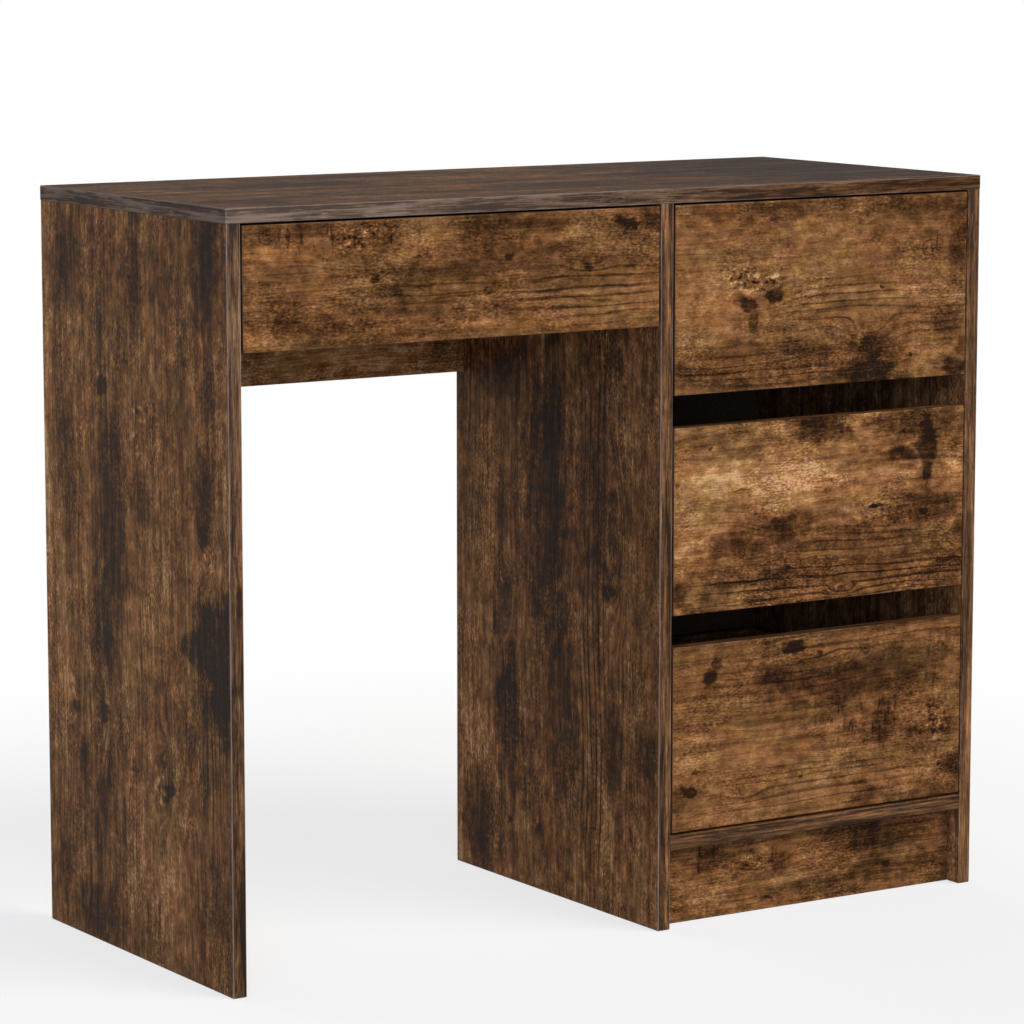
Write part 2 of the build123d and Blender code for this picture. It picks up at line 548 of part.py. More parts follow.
for drawer in drawers:
    rail_z = drawer.bottom + RAIL_RISE
    box_bottom = rail_z + DRAWER_SEAT
    box_top = box_bottom + drawer.side_height
    bottom_low = box_bottom + BOTTOM_RISE
    bottom_high = bottom_low + HARDBOARD
    inner_left = drawer.left_wall + SIDE_CLEARANCE + BOX_BOARD
    inner_right = drawer.right_wall - SIDE_CLEARANCE - BOX_BOARD
    back_front = BOX_REAR - BOX_BOARD
    groove_low = bottom_low - GROOVE_PLAY
    groove_high = bottom_high + GROOVE_PLAY

    front_joints = []
    back_screws = []
    rail_screws = []
    front_rollers = []
    rear_rollers = []
    for side, wall_x, inward in walls(drawer):
        outward = (-inward, 0, 0)
        outer_x = wall_x + inward * SIDE_CLEARANCE
        inner_x = outer_x + inward * BOX_BOARD
        groove_x = inner_x - inward * GROOVE_DEPTH
        middle_x = (outer_x + inner_x) / 2
        cam_heights = [box_bottom + share * drawer.side_height for share in CAM_SHARES]
        joints = cam_row([(middle_x, BOX_FRONT, z) for z in cam_heights], (0, 1, 0), outward)
        screw_heights = [box_bottom + share * drawer.side_height for share in BACK_SCREW_SHARES]
        screw_y = BOX_REAR - BOX_BOARD / 2
        screws = [Plane(origin=(outer_x, screw_y, z), z_dir=outward) for z in screw_heights]
        runner_z = rail_z + DRAWER_SCREW_HEIGHT
        runner_screws = [Plane(origin=(outer_x, BOX_FRONT + y, runner_z), z_dir=outward)
                         for y in DRAWER_SCREW_ROWS]
        make_board(
            f"{drawer.name}_{side}_side",
            (min(outer_x, inner_x), BOX_FRONT, box_bottom), (max(outer_x, inner_x), BOX_REAR, box_top),
            butted=[TO_FRONT],
            grooves=[((min(inner_x, groove_x), BOX_FRONT, groove_low),
                      (max(inner_x, groove_x), BOX_REAR, groove_high))],
            drillings=cam_drillings(joints, DRAWER_CAM)
            + [Drilling(screws, BACK_SCREW_RADIUS + SCREW_PLAY, BOX_BOARD),
               Drilling(screws, BACK_SCREW_HEAD_RADIUS + SCREW_PLAY, BACK_SCREW_HEAD_DEPTH),
               Drilling(runner_screws, SCREW_RADIUS + SCREW_PLAY, DRAWER_SCREW_LENGTH)],
            arris=BOX_ARRIS)
        place(f"{drawer.name}_{side}_channel", channel_rails[side], (wall_x, RAIL_FRONT, rail_z))
        place(f"{drawer.name}_{side}_rail", drawer_rails[side], (wall_x, BOX_FRONT, rail_z))

        front_joints += joints
        back_screws += screws
        rail_screws += [Plane(origin=plane.origin - (inward * SHEET, 0, 0), z_dir=plane.z_dir)
                        for plane in runner_screws]
        front_roller_point = (wall_x + inward * ROLLER_START, RAIL_FRONT + FRONT_AXLE_SETBACK,
                              rail_z + FRONT_AXLE_HEIGHT)
        rear_roller_point = (wall_x + inward * ROLLER_END, BOX_FRONT + REAR_AXLE_SETBACK,
                             rail_z + REAR_AXLE_HEIGHT)
        front_rollers.append(Plane(origin=front_roller_point, z_dir=(inward, 0, 0)))
        rear_rollers.append(Plane(origin=rear_roller_point, z_dir=outward))

    make_board(
        f"{drawer.name}_front", (drawer.left_wall + REVEAL, FRONT, drawer.bottom),
        (drawer.right_wall - REVEAL, BOX_FRONT, drawer.bottom + drawer.height),
        grooves=[((inner_left - GROOVE_DEPTH, BOX_FRONT - GROOVE_DEPTH, groove_low),
                  (inner_right + GROOVE_DEPTH, BOX_FRONT, groove_high))],
        drillings=bolt_drillings(front_joints))
    back_pilots = [Plane(origin=plane.origin - plane.z_dir * BOX_BOARD, z_dir=plane.z_dir)
                   for plane in back_screws]
    make_board(
        f"{drawer.name}_back", (inner_left, back_front, bottom_high + GROOVE_PLAY),
        (inner_right, BOX_REAR, box_top), butted=[TO_LEFT, TO_RIGHT],
        drillings=[Drilling(back_pilots, BACK_SCREW_RADIUS + SCREW_PLAY, BACK_SCREW_LENGTH - BOX_BOARD)],
        arris=BOX_ARRIS)
    bottom_inset = GROOVE_DEPTH - 2 * GROOVE_PLAY
    make_board(
        f"{drawer.name}_bottom", (inner_left - bottom_inset, BOX_FRONT - bottom_inset, bottom_low),
        (inner_right + bottom_inset, BOX_REAR, bottom_high), arris=BOX_ARRIS)
    group(f"{drawer.name}_front_rollers", (ROLLER, front_rollers))
    group(f"{drawer.name}_rear_rollers", (ROLLER, rear_rollers))
    group(f"{drawer.name}_fittings", (bolt_of(DRAWER_CAM), bolt_planes(front_joints)),
          (cam_of(DRAWER_CAM), cam_planes(front_joints, DRAWER_CAM)), (BACK_SCREW, back_screws),
          (low_head_screw(DRAWER_SCREW_LENGTH + SHEET), rail_screws))
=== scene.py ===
from math import radians
from types import SimpleNamespace

import bpy
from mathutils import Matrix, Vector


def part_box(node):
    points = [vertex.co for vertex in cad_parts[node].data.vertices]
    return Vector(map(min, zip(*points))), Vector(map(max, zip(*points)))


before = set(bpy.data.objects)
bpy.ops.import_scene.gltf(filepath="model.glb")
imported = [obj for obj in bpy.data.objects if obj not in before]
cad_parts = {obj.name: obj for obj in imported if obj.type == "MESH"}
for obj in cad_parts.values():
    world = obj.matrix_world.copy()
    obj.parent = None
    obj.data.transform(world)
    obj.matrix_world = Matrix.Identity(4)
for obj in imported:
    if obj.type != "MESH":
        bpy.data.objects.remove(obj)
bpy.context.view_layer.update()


# Uprights: two side panels and a divider of 15 mm particle board, faced with a printed oak foil.
# The grain runs up the board, and the long edges carry a strip of edge banding.
# They stand on the floor on their lower edges, and the rest hangs on them by cams and dowels.

class Wire:
    """A shader socket: arithmetic on it adds Math nodes, and make() adds any other node."""

    def __init__(self, socket):
        self.socket = socket
        self.tree = socket.id_data

    def make(self, kind, settings, inputs, output=0):
        """A new node: its settings are set first, then the values or links of its sockets."""
        node = self.tree.nodes.new("ShaderNode" + kind)
        for name, value in settings.items():
            if name == "mapping":
                for part, amount in value.items():
                    setattr(node.texture_mapping, part, amount)
            elif name == "stops":
                elements = node.color_ramp.elements
                while len(elements) < len(value):
                    elements.new(1)
                for element, (position, colour) in zip(elements, value):
                    element.position = position
                    element.color = (*colour, 1)
            else:
                setattr(node, name, value)
        feed(node, inputs)
        return Wire(node.outputs[output])

    def math(self, operation, *values):
        return self.make("Math", {"operation": operation}, dict(enumerate(values)))

    def __add__(self, other):
        return self.math("ADD", self, other)

    def __sub__(self, other):
        return self.math("SUBTRACT", self, other)

    def __rsub__(self, other):
        return self.math("SUBTRACT", other, self)

    def __mul__(self, other):
        return self.math("MULTIPLY", self, other)

    __radd__ = __add__
    __rmul__ = __mul__

    def __abs__(self):
        return self.math("ABSOLUTE", self)

    def ramp(self, low, high, start=0, end=1):
        """A smooth step from start, where the value is low, to end, where it is high."""
        return self.make("MapRange", {"interpolation_type": "SMOOTHSTEP"}, {
            "Value": self, "From Min": low, "From Max": high, "To Min": start, "To Max": end})

    def vector(self, operation, other):
        return self.make("VectorMath", {"operation": operation}, {0: self, 1: other})

    def length(self):
        return self.make("VectorMath", {"operation": "LENGTH"}, {0: self}, "Value")

    def split(self):
        node = self.make("SeparateXYZ", {}, {0: self}).socket.node
        return [Wire(output) for output in node.outputs]

    def noise(self, waves, octaves, roughness=0.55):
        """Noise about zero, with this many waves in a metre along each axis."""
        texture = self.make("TexNoise", {}, {
            "Vector": self.vector("MULTIPLY", waves), "Scale": 1, "Detail": octaves,
            "Roughness": roughness})
        return texture - 0.5

    def between(self, first, second):
        """A mix of two colours, all of the second one where this share is 1. A Mix node's sockets
        6 and 7 are its colours, and its output 2 is their mix."""
        return self.make("Mix", {"data_type": "RGBA"}, {0: self, 6: first, 7: second}, 2)

    def bump(self, strength, depth):
        """The normal of a surface that this value raises, with the depth in metres."""
        return self.make("Bump", {}, {"Height": self, "Strength": strength, "Distance": depth})


def feed(node, inputs):
    """Values and links into a node's sockets, by name or number."""
    for name, value in inputs.items():
        socket = node.inputs[name]
        if isinstance(value, Wire):
            value.tree.links.new(value.socket, socket)
        else:
            socket.default_value = (*value, 1) if socket.type == "RGBA" else value


def point(x, y, z=0):
    """A vector of three values."""
    return x.make("CombineXYZ", {}, {0: x, 1: y, 2: z})


def largest(first, *others):
    """The largest of some values."""
    for other in others:
        first = first.math("MAXIMUM", first, other)
    return first


def new_finish(name):
    """A new material with the place and the normal of its surface, in the desk's frame."""
    material = bpy.data.materials.new(name)
    material.use_nodes = True
    coordinates = material.node_tree.nodes.new("ShaderNodeTexCoord")
    return material, Wire(coordinates.outputs["Object"]), Wire(coordinates.outputs["Normal"])


def coat(material, **sockets):
    """The sockets of a material's own shader, with spaces written as underscores."""
    shader = material.node_tree.nodes["Principled BSDF"]
    feed(shader, {name.replace("_", " "): value for name, value in sockets.items()})


def dress(material, *nodes):
    """Gives a finish to pieces of the desk."""
    for node in nodes:
        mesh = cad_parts[node].data
        mesh.materials.clear()
        mesh.materials.append(material)


X, Y, Z = 0, 1, 2

# Colours of the print by its tone, tints that drift over it, and the colours of its edges: the
# banding's grey, and the light grey of a painted highlight on the arrises
OAK_STOPS = (
    (0.00, (0.014, 0.007, 0.004)),
    (0.15, (0.033, 0.014, 0.005)),
    (0.30, (0.070, 0.031, 0.010)),
    (0.45, (0.130, 0.058, 0.020)),
    (0.60, (0.215, 0.098, 0.034)),
    (0.75, (0.330, 0.159, 0.057)),
    (0.88, (0.460, 0.240, 0.096)),
    (1.00, (0.640, 0.375, 0.180)))
REDDER = (1.055, 0.978, 0.95)
GREENER = (0.97, 1.015, 0.97)
BLUER = (1.0, 1.0, 1.13)
YELLOWER = (1.0, 1.0, 0.87)
BANDING_GREY = (0.25, 0.19, 0.145)
ARRIS_HIGHLIGHT_GREY = (0.42, 0.35, 0.29)

# Layers of the print: waves in a metre along and across the grain, octaves, roughness and share
BANDS = (1.3, 40, 4, 0.60, 0.62)
STREAKS = (9, 200, 3, 0.60, 0.55)
LINES = (25, 700, 2, 0.55, 0.39)
DRIFT = (2.4, 9, 2, 0.55, 0.035)
RIPPLE = (14, 40, 2, 0.55, 0.006)
RINGED = (2.5, 9, 3, 0.55, 1.00)
MOTTLE = (17, 26, 5, 0.66, 0.48)
BLOTCHES = (55, 90, 4, 0.64, 0.85)
BUSY = (11, 17, 3, 0.55, 1.00)
SPECKS = (240, 480, 2, 0.60, 1.00)
PORES = (80, 480, 2, 0.50, 1.00)
DRIPS = (150, 40, 4, 0.65, 0.70)
CRUMBS = (100, 150, 4, 0.68, 1.00)
CLOUDS = (3.5, 9, 5, 0.62, 1.00)
HUES = (9, 30, 3, 0.60, 1.00)
CASTS = (40, 60, 4, 0.65, 1.00)

# Growth rings in a metre, how far the bands sway them, and metres of print between a board's faces
RINGS = 120
RING_SWAY = 4
OTHER_FACE = 7.0

# How the outlines of marks wander: waves in a metre, octaves, roughness and reach in metres
RAGGED = (70, 4, 0.6, 0.016)
WAVY = (16, 3, 0.5, 0.02)

# Steps between two values. These go by how squarely the surface faces out of the board or along it
END_FACING = (0.6, 0.8)
EDGE_FACING = (0.8, 0.5)
FIRST_FACING = (0.3, 0.5)
ARRIS_FACING = (0.998, 0.97)

# These go by the value of a layer, and some also say what they give at either end
RING_LINE = (0.30, 0.48)
RING_ZONES = (0, 0.15, 0, 0.6)
BUSY_ZONES = (-0.1, 0.12, 0.35, 1)
PORE_LEVEL = (-0.1, -0.2)
CLOUD_LEVEL = (0.02, 0.2)
PALE_CRUMBS = (0.05, 0.16, 0, 0.5)
DARK_CRUMBS = (-0.02, -0.13, 0, 0.45)
SAW_CUTS = (0.02, 0.1, 0, 0.3)
HUE_SWING = (-0.12, 0.12)
CAST_SWING = (0.15, -0.15)
BLEACHED_TONES = (0.1, 0.5, 0.3, 1)

# Where a mark is full and where it ends, in its half lengths, and from where it no longer counts
STAIN_RIM = (0.3, 1.5)
GLOW_RIM = (0, 1.6)
KNOT_RIM = (0.6, 1.15)
BARK_RIM = (0.3, 1.2)
SAWN_RIM = (0.4, 1.3)
CRACK_RIM = (0.2, 1.1)
FIGURE_RIM = (0.5, 1.3)
SWELL_RIM = (0, 1)
OUT_OF_REACH = 4

# How far the mottle and the blotches eat into a mark
STAIN_WEAR = 1.5
STAIN_FRAY = 0.8
GLOW_WEAR = 1.5
BARK_WEAR = 2
SAWN_WEAR = 2

# How much each mark darkens the tone, what makes a stain uneven and red, and how far the cloudy
# stains keep off the first face
RING_DEPTH = 0.19
PORE_DEPTH = 0.14
STAIN_DEPTH = 0.38
STAIN_DRIPS = 0.8
STAIN_BLOTCHES = 0.3
STAIN_REDNESS = 0.13
KNOT_DEPTH = 0.5
CRACK_DEPTH = 0.3
CLEAR_OF_CLOUDS = 0.6

# Edge banding: its tone, its clearer streaks and fewer flecks, the length over which it fades, and
# how patchy the painted highlight on its arrises is
BANDING_TONE = 0.30
BANDING_STREAKS = 0.9
BANDING_CALM = 0.7
FADE_LENGTH = 0.8
ARRIS_HIGHLIGHT_PATCHES = 2

# The foil's embossed pores and its sheen
STREAK_RELIEF = 0.7
RING_RELIEF = 0.12
RELIEF_STRENGTH = 0.25
RELIEF_DEPTH = 0.0006
FOIL_ROUGHNESS = 0.6
STREAK_SHEEN = 0.5
BLOTCH_DULLNESS = 0.3
BOARD_GLOSS = 0.09


def layer(coordinates, recipe):
    """One layer of the print, about zero and weighed by its share."""
    waves_along, waves_across, octaves, roughness, share = recipe
    return coordinates.noise((waves_along, waves_across, waves_across), octaves, roughness) * share


def wander(face, grain, recipe):
    """Places on a face, moved a little to and fro."""
    waves, octaves, roughness, reach = recipe
    to_and_fro = grain.make("TexNoise", {}, {
        "Vector": grain, "Scale": waves, "Detail": octaves, "Roughness": roughness}, "Color")
    return face.make("VectorMath", {"operation": "MULTIPLY_ADD"}, {
        0: to_and_fro.vector("SUBTRACT", (0.5, 0.5, 0.5)), 1: (reach, reach, 0), 2: face})


def patches(places, marks, core, rim, wear=0):
    """Soft ellipses on a face, with outlines that wear eats into. A mark has its middle from the
    board's low corner, its half lengths, its strength and perhaps a turn in degrees. Each is one
    gradient with a mapping of its own: the renderer has no room for a vector for every mark."""
    levels = 1 - rim / OUT_OF_REACH, 1 - core / OUT_OF_REACH
    worn = wear * (1 / OUT_OF_REACH)
    shares = []
    for middle, height, half_length, half_height, strength, *turn in marks:
        mapping = {"vector_type": "TEXTURE", "translation": (middle, height, 0),
                   "rotation": (0, 0, radians(sum(turn))),
                   "scale": (half_length * OUT_OF_REACH, half_height * OUT_OF_REACH, 1)}
        nearness = places.make("TexGradient", {"gradient_type": "SPHERICAL", "mapping": mapping},
                               {"Vector": places}, "Fac")
        shares.append((nearness - worn).ramp(*levels, 0, strength))
    return largest(*shares)


def lay_out(place, direction, low, along, normal, seen, seed):
    """A board's places in the print and on its face, and its first face, edges and arrises."""
    across = X + Y + Z - along - normal
    flat = [axis for axis in (X, Y, Z) if axis != normal]
    spots = place.vector("SUBTRACT", low).split()
    facings = direction.split()
    flank = abs(facings[normal])
    ends = abs(facings[along]).ramp(*END_FACING)
    first = (facings[normal] * seen).ramp(*FIRST_FACING)

    # The print's own directions: along the grain, across it and through the board
    lengthways = spots[along] + (spots[across] - spots[along]) * ends
    sideways = spots[across] + (spots[along] - spots[across]) * ends
    through = spots[normal] + (1 - first) * OTHER_FACE + seed
    grain = point(lengthways, sideways, through)
    face = point(spots[flat[0]], spots[flat[1]])
    return SimpleNamespace(
        run=spots[along], lengthways=lengthways, sideways=sideways, through=through, grain=grain,
        face=face, ragged=wander(face, grain, RAGGED), wavy=wander(face, grain, WAVY), first=first,
        edge=flank.ramp(*EDGE_FACING),
        arris=largest(flank, abs(facings[along]), abs(facings[across])).ramp(*ARRIS_FACING))


def grow(lay, swells, figured):
    """The figure of the wood: streaks and growth rings, led round its knots, mottle and pores."""
    led = lay.sideways + layer(lay.grain, DRIFT) + layer(lay.grain, RIPPLE)
    if swells:
        led = led + patches(lay.face, swells, *SWELL_RIM) * lay.first
    fibres = point(lay.lengthways, led, lay.through)
    bands = layer(fibres, BANDS)
    turns = led * RINGS + bands * RING_SWAY
    ringed = layer(lay.grain, RINGED).ramp(*RING_ZONES)
    if figured:
        ringed = ringed + patches(lay.ragged, figured, *FIGURE_RIM) * lay.first
    busy = layer(lay.grain, BUSY).ramp(*BUSY_ZONES)
    return SimpleNamespace(
        bands=bands, streaks=layer(fibres, STREAKS), lines=layer(fibres, LINES), ringed=ringed,
        rings=abs(turns.math("FRACT", turns) - 0.5).ramp(*RING_LINE),
        mottle=layer(lay.grain, MOTTLE), blotches=layer(lay.grain, BLOTCHES),
        drips=layer(lay.grain, DRIPS), specks=layer(lay.grain, SPECKS) * busy,
        pores=layer(fibres, PORES).ramp(*PORE_LEVEL) * busy)


def mark(tone, lay, wood, glows=(), knots=(), bark=(), sawn=(), cracks=()):
    """A tone with the marks that stand on the first face."""
    if glows:
        tone = tone + patches(lay.ragged, glows, *GLOW_RIM, wood.mottle * GLOW_WEAR) * lay.first
    if knots:
        tone = tone - patches(lay.ragged, knots, *KNOT_RIM, wood.blotches) * lay.first * KNOT_DEPTH
    if bark:
        zone = patches(lay.ragged, bark, *BARK_RIM, wood.mottle * BARK_WEAR) * lay.first
        crumbs = layer(lay.grain, CRUMBS)
        tone = tone + zone * (crumbs.ramp(*PALE_CRUMBS) - crumbs.ramp(*DARK_CRUMBS))
    if sawn:
        zone = patches(lay.ragged, sawn, *SAWN_RIM, wood.mottle * SAWN_WEAR) * lay.first
        tone = tone - zone * wood.drips.ramp(*SAW_CUTS)
    if cracks:
        tone = tone - patches(lay.wavy, cracks, *CRACK_RIM) * lay.first * CRACK_DEPTH
    return tone


def oak_print(name, low, along, normal, seen=1, seed=0, tone=0.5, lively=1, combed=1, clouds=0.5,
              stains=(), swells=(), figured=(), faded=(0.05, 0.05), worn=0.4, gloss=BOARD_GLOSS,
              **marks):
    """The rustic oak foil on a board whose grain runs along one axis. Seen is the side of its first
    face, which alone carries the marks. Lively is the print's contrast, combed that of its streaks,
    and clouds how dark its cloudy stains are. Faded is how grey the banding is at the low and the
    high end, and worn how strongly the arrises are paled by a painted highlight."""
    material, place, direction = new_finish(name)
    lay = lay_out(place, direction, low, along, normal, seen, seed)
    wood = grow(lay, swells, figured)

    stain = layer(lay.grain, CLOUDS).ramp(*CLOUD_LEVEL, 0, clouds)
    stain = stain * (1 - lay.first * CLEAR_OF_CLOUDS) * (1 - lay.edge)
    if stains:
        wear = wood.mottle * STAIN_WEAR + wood.blotches * STAIN_FRAY
        stain = stain + patches(lay.ragged, stains, *STAIN_RIM, wear) * lay.first

    streaky = (wood.bands + wood.streaks + wood.lines) * (combed + lay.edge * BANDING_STREAKS)
    flecked = (wood.mottle + wood.blotches + wood.specks) * (1 - lay.edge * BANDING_CALM)
    figure = streaky + flecked - wood.rings * wood.ringed * RING_DEPTH - wood.pores * PORE_DEPTH
    value = tone + (BANDING_TONE - tone) * lay.edge + figure * lively
    value = value - stain * (STAIN_DEPTH + wood.drips * STAIN_DRIPS + wood.blotches * STAIN_BLOTCHES)
    value = mark(value, lay, wood, **marks)

    colour = value.make("ValToRGB", {"stops": OAK_STOPS}, {"Fac": value})
    hue = (layer(lay.grain, HUES) - stain * STAIN_REDNESS).ramp(*HUE_SWING)
    cast = layer(lay.grain, CASTS).ramp(*CAST_SWING)
    colour = colour.vector("MULTIPLY", hue.between(REDDER, GREENER))
    colour = colour.vector("MULTIPLY", cast.between(BLUER, YELLOWER))
    bleach = lay.run.ramp(0, FADE_LENGTH, *faded) * value.ramp(*BLEACHED_TONES)
    colour = (lay.edge * bleach).between(colour, BANDING_GREY)
    # Painted highlight: the rounded arrises are paled towards a light grey, patchy along the streaks
    colour = (lay.arris * (worn + wood.streaks * ARRIS_HIGHLIGHT_PATCHES)).between(colour, ARRIS_HIGHLIGHT_GREY)
    relief = wood.streaks * STREAK_RELIEF + wood.lines - wood.rings * RING_RELIEF
    roughness = FOIL_ROUGHNESS - wood.streaks * STREAK_SHEEN + wood.blotches * BLOTCH_DULLNESS
    coat(material, Base_Color=colour, Roughness=roughness, Specular_IOR_Level=gloss,
         Normal=relief.bump(RELIEF_STRENGTH, RELIEF_DEPTH))
    return material


def board(node, **settings):
    """Lays a stretch of the print on one board."""
    dress(oak_print(node + "_print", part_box(node)[0], **settings), node)


board("left_side_panel", along=Z, normal=X, seen=-1, seed=1, tone=0.555, lively=1.5, combed=0.85,
      faded=(0.05, 0.2),
      stains=(
          (0.325, 0.690, 0.028, 0.055, 0.7), (0.278, 0.715, 0.012, 0.035, 0.6),
          (0.190, 0.680, 0.024, 0.060, 0.8), (0.035, 0.695, 0.038, 0.062, 1.0),
          (0.040, 0.590, 0.012, 0.045, 0.7), (0.130, 0.690, 0.030, 0.050, 0.4),
          (0.262, 0.610, 0.007, 0.035, 0.4), (0.340, 0.500, 0.025, 0.050, 0.5),
          (0.330, 0.430, 0.018, 0.035, 0.4), (0.240, 0.430, 0.036, 0.115, 0.75),
          (0.182, 0.460, 0.022, 0.028, 0.7), (0.050, 0.465, 0.017, 0.055, 0.9),
          (0.262, 0.330, 0.030, 0.045, 0.75), (0.080, 0.230, 0.010, 0.028, 0.7),
          (0.305, 0.180, 0.014, 0.030, 0.6), (0.264, 0.150, 0.013, 0.045, 0.6),
          (0.268, 0.095, 0.018, 0.050, 0.6), (0.265, 0.030, 0.048, 0.036, 0.85),
          (0.350, 0.055, 0.011, 0.040, 0.6), (0.020, 0.100, 0.022, 0.055, 0.35),
          (0.215, 0.610, 0.012, 0.050, 0.4), (0.297, 0.455, 0.008, 0.085, 0.4),
          (0.284, 0.680, 0.008, 0.045, 0.35), (0.132, 0.615, 0.018, 0.035, 0.35),
          (0.018, 0.595, 0.014, 0.032, 0.5), (0.172, 0.550, 0.012, 0.014, 0.4),
          (0.225, 0.085, 0.020, 0.030, 0.25), (0.030, 0.288, 0.026, 0.034, 0.7),
          (0.196, 0.420, 0.008, 0.060, 0.3), (0.168, 0.520, 0.026, 0.024, 0.3),
          (0.130, 0.545, 0.016, 0.024, 0.35), (0.165, 0.680, 0.012, 0.016, 0.4),
          (0.290, 0.628, 0.014, 0.012, 0.4), (0.118, 0.070, 0.014, 0.020, 0.35),
          (0.030, 0.045, 0.020, 0.014, 0.4)),
      glows=(
          (0.380, 0.500, 0.014, 0.260, 0.26), (0.346, 0.258, 0.016, 0.024, 0.3),
          (0.350, 0.330, 0.026, 0.090, 0.15), (0.366, 0.200, 0.016, 0.060, 0.15),
          (0.132, 0.085, 0.036, 0.085, 0.2), (0.190, 0.110, 0.030, 0.080, 0.1),
          (0.157, 0.345, 0.036, 0.075, 0.14), (0.172, 0.595, 0.022, 0.035, 0.06),
          (0.050, 0.414, 0.040, 0.016, 0.2), (0.370, 0.715, 0.014, 0.045, 0.22),
          (0.340, 0.270, 0.024, 0.060, 0.14), (0.340, 0.200, 0.018, 0.040, 0.12),
          (0.148, 0.148, 0.030, 0.030, 0.14), (0.172, 0.205, 0.012, 0.030, 0.12),
          (0.330, 0.262, 0.014, 0.022, 0.22), (0.137, 0.228, 0.012, 0.016, 0.14),
          (0.130, 0.138, 0.022, 0.018, 0.2), (0.376, 0.500, 0.010, 0.060, 0.1),
          (0.146, 0.189, 0.003, 0.005, 0.5), (0.143, 0.170, 0.004, 0.008, 0.5),
          (0.152, 0.180, 0.002, 0.004, 0.4), (0.150, 0.197, 0.002, 0.004, 0.4),
          (0.176, 0.553, 0.005, 0.003, 0.45), (0.190, 0.546, 0.004, 0.003, 0.4),
          (0.194, 0.520, 0.003, 0.005, 0.4), (0.182, 0.506, 0.005, 0.002, 0.4)),
      knots=((0.004, 0.318, 0.038, 0.080, 0.95), (0.040, 0.338, 0.038, 0.040, 0.9),
             (0.078, 0.329, 0.022, 0.015, 0.8), (0.321, 0.234, 0.010, 0.008, 0.7),
             (0.262, 0.236, 0.014, 0.012, 0.7), (0.257, 0.566, 0.013, 0.011, 0.7),
             (0.124, 0.181, 0.014, 0.007, 0.8), (0.131, 0.172, 0.008, 0.005, 0.7),
             (0.137, 0.208, 0.006, 0.009, 0.7), (0.050, 0.440, 0.010, 0.014, 0.5)),
      bark=((0.144, 0.178, 0.010, 0.022, 1.1), (0.178, 0.548, 0.018, 0.010, 0.9),
            (0.186, 0.518, 0.012, 0.016, 0.7), (0.180, 0.502, 0.012, 0.006, 0.6)),
      figured=((0.030, 0.230, 0.030, 0.060, 0.8), (0.250, 0.600, 0.014, 0.120, 0.6)),
      swells=((0.321, 0.234, 0.020, 0.060, 0.02), (0.262, 0.234, 0.024, 0.060, 0.02),
              (0.130, 0.190, 0.026, 0.080, 0.025), (0.030, 0.420, 0.050, 0.040, 0.03)))

board("divider_panel", along=Z, normal=X, seen=-1, seed=2, tone=0.57, lively=1.5, combed=0.9,
      stains=(
          (0.205, 0.420, 0.046, 0.190, 1.0), (0.115, 0.430, 0.040, 0.120, 0.4),
          (0.277, 0.180, 0.027, 0.075, 1.1), (0.190, 0.190, 0.046, 0.090, 0.6),
          (0.085, 0.180, 0.018, 0.050, 0.8), (0.070, 0.095, 0.008, 0.035, 0.7),
          (0.025, 0.180, 0.024, 0.028, 0.6), (0.338, 0.055, 0.036, 0.050, 0.75),
          (0.300, 0.545, 0.050, 0.026, 0.8), (0.085, 0.590, 0.014, 0.030, 0.7),
          (0.235, 0.110, 0.034, 0.036, 0.45), (0.052, 0.425, 0.011, 0.030, 0.4),
          (0.300, 0.290, 0.024, 0.050, 0.4), (0.200, 0.640, 0.120, 0.050, 0.6),
          (0.258, 0.235, 0.012, 0.050, 0.45), (0.212, 0.120, 0.016, 0.030, 0.4),
          (0.200, 0.060, 0.036, 0.024, 0.3), (0.250, 0.035, 0.014, 0.024, 0.35),
          (0.325, 0.420, 0.010, 0.040, 0.3), (0.285, 0.080, 0.008, 0.030, 0.4),
          (0.255, 0.205, 0.008, 0.024, 0.45), (0.215, 0.125, 0.014, 0.020, 0.5),
          (0.240, 0.268, 0.020, 0.024, 0.25), (0.015, 0.535, 0.008, 0.014, 0.45)),
      glows=(
          (0.346, 0.150, 0.030, 0.050, 0.2), (0.092, 0.295, 0.011, 0.042, 0.2),
          (0.087, 0.065, 0.009, 0.060, 0.24), (0.335, 0.330, 0.030, 0.100, 0.08),
          (0.254, 0.450, 0.008, 0.110, 0.12), (0.020, 0.060, 0.024, 0.055, 0.14),
          (0.022, 0.500, 0.022, 0.060, 0.08), (0.150, 0.030, 0.030, 0.040, 0.08),
          (0.252, 0.520, 0.014, 0.045, 0.16), (0.090, 0.410, 0.016, 0.040, 0.12),
          (0.376, 0.025, 0.012, 0.030, 0.22), (0.262, 0.545, 0.010, 0.018, 0.26),
          (0.235, 0.505, 0.008, 0.030, 0.16), (0.098, 0.300, 0.006, 0.022, 0.14)),
      knots=((0.278, 0.064, 0.007, 0.006, 0.6), (0.222, 0.066, 0.007, 0.006, 0.6),
             (0.092, 0.338, 0.014, 0.008, 0.5), (0.284, 0.218, 0.012, 0.016, 0.5)),
      figured=((0.118, 0.300, 0.026, 0.290, 1.2), (0.075, 0.430, 0.020, 0.070, 0.8)),
      swells=((0.075, 0.392, 0.030, 0.130, 0.03), (0.280, 0.304, 0.022, 0.060, 0.02)))

